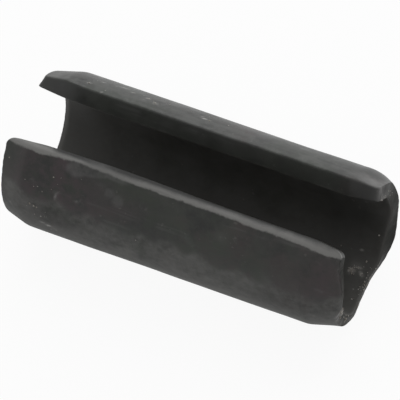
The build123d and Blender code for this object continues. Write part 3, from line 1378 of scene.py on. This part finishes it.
    def tree(self) -> NodeTree:
        """Builds the node tree that puts an uneven crumb at each point.

        Returns:
            The tree.
        """
        nodes = new_shape("scatter_flecks", self.sizes(), ("Finish",))
        given = nodes.results("NodeGroupInput")
        crumb = nodes.out("GeometryNodeMeshIcoSphere", {"Radius": 0.5, "Subdivisions": 2})
        any_turn = {0: (0.0, 0.0, 0.0), 1: (2 * math.pi,) * 3, "Seed": given["Seed"]}
        turn = nodes.out("FunctionNodeRandomValue", any_turn, data_type="FLOAT_VECTOR")
        sides = {"X": 1.0, "Y": given["Narrowness"], "Z": given["Flatness"]}
        shape = nodes.out("ShaderNodeCombineXYZ", sides)
        spread = nodes.out(
            "GeometryNodeInstanceOnPoints",
            {
                "Points": given["Geometry"],
                "Instance": crumb,
                "Rotation": turn,
                "Scale": nodes.scaled(shape, nodes.stored("size")),
            },
        )
        whole = nodes.out("GeometryNodeRealizeInstances", {"Geometry": spread})
        place = nodes.out("GeometryNodeInputPosition")
        lump = nodes.noise(place, given["Lump Scale"], detail=1.0, output=1)
        centred = nodes.out("ShaderNodeVectorMath", {0: lump, 1: (0.5,) * 3}, operation="SUBTRACT")
        uneven = {"Geometry": whole, "Offset": nodes.scaled(centred, given["Lump Height"])}
        moved = nodes.out("GeometryNodeSetPosition", uneven)
        nodes.add("NodeGroupOutput", {"Geometry": nodes.dress(moved, given["Finish"])})
        return nodes

    def build(self, finish: "PaleGrit") -> bpy.types.Object:
        """Scatters the flecks and lets them ride on the clip.

        Args:
            finish: Their finish.

        Returns:
            The finished piece.
        """
        places, sizes = self.points()
        mesh = bpy.data.meshes.new("fleck_points")
        mesh.from_pydata(places.tolist(), [], [])
        store(mesh, "size", sizes)
        values = {**self.sizes(), "Finish": finish.material()}
        piece = settle(mesh, self.tree(), values, self.name)
        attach(piece, "root")
        log.info("%s: %d faces", piece.name, len(piece.data.polygons))
        return piece


@dataclass
class SurfaceEffects:
    """Node groups for the effects that the finishes share.

    Each ramp says from where to where a pattern fades in. The patches are the scales of the
    patterns that gather the lines and the specks in some places.
    """

    fine_ratio: float = 5.3
    fine_share: float = 0.3
    cloud_strength: float = 3.2
    line_stretch: tuple[float, float, float] = (90.0, 1500.0, 1500.0)
    line_sharpness: float = 9.0
    line_patches: float = 420.0
    line_ramp: tuple[float, float] = (0.42, 0.62)
    nudge_scale: float = 2600.0
    nudge: float = 0.4 * MM
    least_dot: float = 0.08
    dot_spread: float = 0.2
    dot_sharpness: float = 12.0
    speck_patches: float = 380.0
    speck_ramp: tuple[float, float] = (0.47, 0.6)

    def __post_init__(self) -> None:
        """Builds each group once."""
        self.clouds = self.build_clouds()
        self.streaks = self.build_streaks()
        self.specks = self.build_specks()

    @staticmethod
    def start(name: str, inputs: dict[str, float], *outputs: str) -> NodeTree:
        """Starts a node group.

        Args:
            name: The group's name.
            inputs: Its number inputs and their usual values. A place comes first.
            *outputs: Its number outputs.

        Returns:
            The group's tree, ready for nodes.
        """
        nodes = NodeTree(bpy.data.node_groups.new(name, "ShaderNodeTree"))
        nodes.sockets("INPUT", {"Place": "Vector", **dict.fromkeys(inputs, "Float")})
        nodes.sockets("OUTPUT", dict.fromkeys(outputs, "Float"))
        for item in nodes.tree.interface.items_tree:
            if item.name in inputs:
                item.default_value = inputs[item.name]
        return nodes

    def build_clouds(self) -> bpy.types.NodeTree:
        """Soft uneven patches, as oxide leaves them, in a broad and a fine size.

        Returns:
            The node group.
        """
        nodes = self.start("oxide_clouds", {"Scale": 300.0, "Contrast": 1.0}, "Mask")
        given = nodes.results("NodeGroupInput")
        broad = nodes.noise(given["Place"], given["Scale"], detail=4.0, rough=0.6)
        fine_scale = given["Scale"] * self.fine_ratio
        fine = nodes.noise(given["Place"], fine_scale, detail=3.0, rough=0.7)
        centred = broad * (1.0 - self.fine_share) + fine * self.fine_share - 0.5
        spread = centred * (given["Contrast"] * self.cloud_strength)
        nodes.add("NodeGroupOutput", {"Mask": (spread + 0.5).clamped()})
        return nodes.tree

    def build_streaks(self) -> bpy.types.NodeTree:
        """Fine rolling lines and scratches along the strip.

        Returns:
            The node group.
        """
        nodes = self.start("rolling_streaks", {"Scale": 1.0, "Share": 0.62}, "Mask", "Height")
        given = nodes.results("NodeGroupInput")
        place = nodes.scaled(given["Place"], given["Scale"])
        stretch = {"Vector": place, "Scale": self.line_stretch}
        lines = nodes.noise(nodes.out("ShaderNodeMapping", stretch), 1.0, detail=3.0, rough=0.6)
        sharp = ((lines - given["Share"]) * self.line_sharpness).clamped()
        gathered = nodes.noise(place, self.line_patches, detail=2.0).ramp(*self.line_ramp)
        nodes.add("NodeGroupOutput", {"Mask": sharp * gathered, "Height": lines})
        return nodes.tree

    def build_specks(self) -> bpy.types.NodeTree:
        """Small scattered dots, gathered in some places and missing in others.

        Returns:
            The node group.
        """
        nodes = self.start("scattered_specks", {"Scale": 1600.0, "Amount": 0.4}, "Mask")
        given = nodes.results("NodeGroupInput")
        any_way = nodes.noise(given["Place"], self.nudge_scale, detail=2.0, output=1)
        nudged = {0: given["Place"], 1: nodes.scaled(any_way, self.nudge)}
        moved = nodes.out("ShaderNodeVectorMath", nudged, operation="ADD")
        inputs = {"Vector": moved, "Scale": given["Scale"], "Randomness": 1.0}
        cells = nodes.results("ShaderNodeTexVoronoi", inputs)
        chances = nodes.results("ShaderNodeSeparateColor", {0: cells["Color"]})
        chosen = nodes.math("LESS_THAN", chances["Red"], given["Amount"])
        radius = chances["Green"] * self.dot_spread + self.least_dot
        dot = ((radius - cells["Distance"]) * self.dot_sharpness).clamped()
        patches = nodes.noise(given["Place"], self.speck_patches, detail=2.0)
        gathered = patches.ramp(*self.speck_ramp)
        nodes.add("NodeGroupOutput", {"Mask": dot * chosen * gathered})
        return nodes.tree


@dataclass(frozen=True)
class BlackenedSteel:
    """Satin black oxide over steel, worn grey where it was handled. Light and shade are painted on it
    too: a highlight along the near lip, a reflection of the floor low on the near wall, light on the
    left taper, and shade in the bore, on the cut faces and in some of the smudges.

    cloud_sizes holds the scale and contrast of the clouds, of the tint and of the fine
    mottling. The shares say how much of each coat shows at most, the ramps from where to
    where a pattern fades in, and the least values how much shows where it is weakest.
    """

    effects: SurfaceEffects
    name: str = "blackened_steel"
    deep: Tone = (0.0085, 0.0092, 0.008)
    light: Tone = (0.027, 0.0275, 0.0245)
    cut_tone: Tone = (0.03, 0.031, 0.028)
    bare: Tone = (0.09, 0.09, 0.088)
    # Painted highlight along the near lip: the light tone at its ridge, then the dark one at the lip.
    rubbed: Tone = (0.172, 0.17, 0.163)
    rubbed_dark: Tone = (0.022, 0.022, 0.0215)
    scuffed: Tone = (0.42, 0.41, 0.4)
    dusty: Tone = (0.36, 0.35, 0.33)
    far_light: Tone = (0.065, 0.067, 0.063)
    warm_tone: Tone = (0.0335, 0.0225, 0.0255)
    cool_tone: Tone = (0.0225, 0.029, 0.021)
    # Greenish tint that also paints light on the left taper, the only taper it is laid on.
    greenish: Tone = (0.055, 0.06, 0.052)
    # Dark tone of the smudges and of the painted shade.
    soot: Tone = (0.008, 0.008, 0.008)
    speck: Tone = (0.3, 0.29, 0.27)
    bore_deep: Tone = (0.04, 0.039, 0.035)
    bore_light: Tone = (0.058, 0.057, 0.053)
    brown: Tone = (0.04, 0.029, 0.029)
    mossy: Tone = (0.018, 0.024, 0.015)
    # Painted reflection of the floor on the near wall's lower part.
    low_tone: Tone = (0.127, 0.127, 0.122)
    cloud_sizes: tuple[tuple[float, float], ...] = ((420.0, 1.3), (170.0, 1.5), (1500.0, 0.8))
    streak_share: float = 0.6
    speck_scale: float = 2300.0
    speck_amount: float = 0.35
    brown_share: float = 0.45
    mossy_share: float = 0.5
    cut_share: float = 0.7
    taper_share: float = 0.18
    far_share: float = 0.7
    low_share: float = 0.66
    scratch_share: float = 0.35
    soot_share: float = 0.9
    speck_share: float = 0.8
    mottle_ramp: tuple[float, float] = (0.0, 0.9)
    tint_ramp: tuple[float, float] = (0.55, 0.95)
    far_ramp: tuple[float, float] = (0.38, 0.62)
    far_lines: float = 0.56
    far_clouds: float = 0.22
    lip_ramp: tuple[float, float] = (0.15, 0.85)
    lip_break: float = 0.7
    lip_wander: float = 0.3
    fine_wear: float = 0.6
    cloud_wear: float = 0.9
    least_wear: float = 0.25
    least_scuff: float = 0.5
    least_dust: float = 0.4
    least_grit: float = 0.12
    low_dulling: float = 0.55
    specular: float = 0.34
    roughness: float = 0.42
    rough_spread: float = 0.16
    rough_lip: float = 0.35
    rough_bore: float = 0.15
    rough_low: float = 0.2
    bump_strength: float = 0.25
    bump_height: float = 0.03 * MM
    line_height: float = 0.4
    cloud_height: float = 0.5
    speck_height: float = 0.6

    def material(self) -> bpy.types.Material:
        """Builds the material: coats of colour over each other, then shine and bumps.

        Returns:
            The material.
        """
        material, nodes = new_material(self.name)
        place = nodes.results("ShaderNodeTexCoord")["Object"]
        effects = self.effects
        clouds, tint, fine = (
            nodes.group(effects.clouds, Place=place, Scale=scale, Contrast=contrast)["Mask"]
            for scale, contrast in self.cloud_sizes
        )
        streaks = nodes.group(effects.streaks, Place=place, Scale=1.0, Share=self.streak_share)
        speck_values = {"Scale": self.speck_scale, "Amount": self.speck_amount}
        specks = nodes.group(effects.specks, Place=place, **speck_values)["Mask"]
        zones = ("bore", "cut", "band", "across", "low", "taper", "far")
        bore, cut, band, across, low, taper, far = map(nodes.attribute, zones)
        marks = ("worn", "scuffs", "smudge", "dust", "grit", "warm")
        worn, scuffs, smudge, dust, grit, warmth = map(nodes.attribute, marks)
        centred = clouds - 0.5
        mottle = clouds.ramp(*self.mottle_ramp)
        lines = streaks["Height"] * self.far_lines + (fine + clouds) * self.far_clouds
        streaky = lines.ramp(*self.far_ramp) * far
        # Painted highlight along the near lip, lighter from the lip towards its ridge.
        highlight_rise = (across + centred * self.lip_wander).ramp(0.0, 1.0)
        lip_highlight_tone = nodes.mix(highlight_rise, self.rubbed_dark, self.rubbed)
        lip = (band + (fine - 0.5) * self.lip_break).ramp(*self.lip_ramp)
        uneven = fine * self.fine_wear + clouds * self.cloud_wear + self.least_wear
        gritty = specks * (grit + self.least_grit) * self.speck_share
        colour = nodes.mix(clouds, self.deep, self.light)
        coats = (
            (tint.ramp(*self.tint_ramp) * self.brown_share, self.brown),
            ((1.0 - tint).ramp(*self.tint_ramp) * self.mossy_share, self.mossy),
            (warmth.at_least(0.0) * mottle, self.warm_tone),
            ((warmth * -1.0).at_least(0.0) * mottle, self.cool_tone),
            (cut * self.cut_share, self.cut_tone),
            # Greenish tint and painted light, on the left taper only.
            (taper.at_least(0.0) * self.taper_share, self.greenish),
            (streaky * self.far_share, self.far_light),
            # Painted highlight along the near lip.
            (lip, lip_highlight_tone),
            # Painted reflection of the floor, low on the near wall.
            (low * self.low_share * uneven, self.low_tone),
            (worn * uneven, self.bare),
            (streaks["Mask"] * self.scratch_share * (1.0 - bore), self.bare),
            (bore, nodes.mix(clouds, self.bore_deep, self.bore_light)),
            # Dark smudges, and painted shade in the bore, on the cut faces and on parts of the skin.
            (smudge * self.soot_share, self.soot),
            (scuffs * (fine + self.least_scuff), self.scuffed),
            (dust * (fine + self.least_dust), self.dusty),
            (gritty.clamped(), self.speck),
        )
        for share, tone in coats:
            colour = nodes.mix(share, colour, tone)
        rough = centred * self.rough_spread + self.roughness
        rough = rough + band * (1.0 - across) * self.rough_lip
        rough = rough + bore * self.rough_bore + low * self.rough_low
        height = clouds * self.cloud_height + specks * self.speck_height
        height = streaks["Height"] * self.line_height + height
        bumps = {"Strength": self.bump_strength, "Distance": self.bump_height, "Height": height}
        surface = {
            "Base Color": colour,
            "Metallic": 0.0,
            "Specular IOR Level": self.specular - low * (self.specular * self.low_dulling),
            "Roughness": rough.clamped(),
            "Normal": nodes.out("ShaderNodeBump", bumps),
        }
        shader = nodes.out("ShaderNodeBsdfPrincipled", surface)
        nodes.add("ShaderNodeOutputMaterial", {"Surface": shader})
        return material


@dataclass(frozen=True)
class PaleGrit:
    """Dry, pale dirt with a rusty side."""

    effects: SurfaceEffects
    pale: Tone = (0.38, 0.37, 0.345)
    rusty: Tone = (0.17, 0.15, 0.125)
    roughness: float = 0.85
    bump_strength: float = 0.4
    bump_height: float = 0.02 * MM

    def material(self) -> bpy.types.Material:
        """Builds the material.

        Returns:
            The material.
        """
        material, nodes = new_material("pale_grit")
        place = nodes.results("ShaderNodeTexCoord")["Object"]
        clouds = nodes.group(self.effects.clouds, Place=place, Scale=2400.0, Contrast=1.6)["Mask"]
        bumps = {"Strength": self.bump_strength, "Distance": self.bump_height, "Height": clouds}
        surface = {
            "Base Color": nodes.mix(clouds, self.rusty, self.pale),
            "Roughness": self.roughness,
            "Normal": nodes.out("ShaderNodeBump", bumps),
        }
        shader = nodes.out("ShaderNodeBsdfPrincipled", surface)
        nodes.add("ShaderNodeOutputMaterial", {"Surface": shader})
        return material


class Side(Enum):
    """Where a lamp stands, as a direction from the clip."""

    ABOVE_BEHIND = (-0.1, 0.85, 0.75)


@dataclass(frozen=True)
class SoftLamp:
    """A large studio lamp that faces the clip."""

    side: Side
    power: float
    size: float
    distance: float = 0.4

    def build(self) -> bpy.types.Object:
        """Makes the lamp.

        Returns:
            The lamp.
        """
        data = bpy.data.lights.new(self.side.name.lower(), "AREA")
        data.shape = "DISK"
        data.size = self.size
        data.energy = self.power
        lamp = place_object(data.name, data)
        way = Vector(self.side.value).normalized()
        lamp.location = way * self.distance
        lamp.rotation_mode = "QUATERNION"
        lamp.rotation_quaternion = way.to_track_quat("Z", "Y")
        return lamp


@dataclass(frozen=True)
class Studio:
    """The plain pale floor, the white surroundings, the lamp and the camera."""

    floor_reach: float = 4.0
    azimuth: float = 38.063
    elevation: float = 57.945
    roll: float = -14.416
    distance: float = 290.9
    focal_pixels: float = 4585.5
    frame_pixels: float = 400.0
    aim_right: float = -0.43
    aim_down: float = -2.22
    sensor: float = 36.0
    nearest: float = 0.01
    farthest: float = 20.0
    world_level: float = 0.5
    floor_tone: Tone = (0.9, 0.9, 0.9)
    floor_whiteness: float = 0.93
    white: Tone = (1.0, 1.0, 1.0)
    lamps: tuple[SoftLamp, ...] = (SoftLamp(Side.ABOVE_BEHIND, power=1.3, size=0.7),)

    def build_floor(self, level: float) -> bpy.types.Object:
        """Lays the floor under the clip.

        Args:
            level: The height, in metres.

        Returns:
            The floor.
        """
        mesh = bpy.data.meshes.new("floor")
        ways = ((-1, -1), (1, -1), (1, 1), (-1, 1))
        reach = self.floor_reach
        mesh.from_pydata([(x * reach, y * reach, level) for x, y in ways], [], [(0, 1, 2, 3)])
        floor = place_object("floor", mesh)
        floor.data.materials.append(self.floor_material())
        floor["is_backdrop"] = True
        return floor

    def floor_material(self) -> bpy.types.Material:
        """A white floor that keeps a little of the clip's shadow.

        Returns:
            The material.
        """
        material, nodes = new_material("pale_floor")
        share = self.seen(nodes) * self.floor_whiteness
        matt = nodes.out("ShaderNodeBsdfDiffuse", {"Color": self.floor_tone})
        white = nodes.out("ShaderNodeEmission", {"Color": self.white, "Strength": 1.0})
        mixed = nodes.out("ShaderNodeMixShader", {0: share, 1: matt, 2: white})
        nodes.add("ShaderNodeOutputMaterial", {"Surface": mixed})
        return material

    @staticmethod
    def seen(nodes: NodeTree) -> Value:
        """1 for what the camera, a reflection or a clear piece shows, 0 for light.

        Args:
            nodes: The tree to work in.

        Returns:
            The value.
        """
        path = nodes.results("ShaderNodeLightPath")
        direct = path["Is Camera Ray"].at_least(path["Is Glossy Ray"])
        return direct.at_least(path["Is Transmission Ray"])

    def build_world(self) -> None:
        """Surrounds the clip with soft white, and shows plain white behind it."""
        world = bpy.data.worlds.new("white_surroundings")
        world.use_nodes = True
        world.node_tree.nodes.clear()
        nodes = NodeTree(world.node_tree)
        level = self.seen(nodes) * (1.0 - self.world_level) + self.world_level
        sky = nodes.out("ShaderNodeBackground", {"Color": self.white, "Strength": level})
        nodes.add("ShaderNodeOutputWorld", {"Surface": sky})
        bpy.context.scene.world = world

    def build_camera(self) -> bpy.types.Object:
        """Puts the camera where the photograph was taken from.

        Returns:
            The camera.
        """
        data = bpy.data.cameras.new("camera")
        data.sensor_width = self.sensor
        data.lens = self.sensor * self.focal_pixels / self.frame_pixels
        data.clip_start, data.clip_end = self.nearest, self.farthest
        camera = place_object("camera", data)
        per_pixel = self.distance / self.focal_pixels
        aside, down = self.aim_right * per_pixel, self.aim_down * per_pixel
        turns = ((self.azimuth, "Z"), (QUARTER_TURN - self.elevation, "X"), (self.roll, "Z"))
        spin, tip, roll = (Matrix.Rotation(math.radians(turn), 4, axis) for turn, axis in turns)
        away = Matrix.Translation(Vector((-aside, down, self.distance)) * MM)
        camera.matrix_world = spin @ tip @ roll @ away
        bpy.context.scene.camera = camera
        return camera

    def build(self, floor_level: float) -> None:
        """Builds the whole studio round a clip that lies at a height in metres.

        Args:
            floor_level: That height.
        """
        bpy.context.scene.view_settings.view_transform = "Standard"
        self.build_camera()
        self.build_world()
        self.build_floor(floor_level)
        for lamp in self.lamps:
            lamp.build()
        log.info("studio: %d lamps", len(self.lamps))


def corners(box: tuple[Vector, Vector]) -> list[list[float]]:
    """A box's two corners as plain lists."""
    return [list(corner) for corner in box]


def main() -> None:
    """Builds the clip and its studio, on a floor at the bottom of the CAD's box."""
    logging.basicConfig(level=logging.INFO, format="%(message)s")
    cad_box = corners(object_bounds())
    Studio().build(cad_box[0][2])
    effects = SurfaceEffects()
    strip = RolledStrip()
    ends = BlackenedSteel(effects, name="ground_ends", specular=0.12, roughness=0.6)
    strip.build(BlackenedSteel(effects), ends)
    Flecks(strip).build(PaleGrit(effects))


if __name__ == "__main__":
    main()
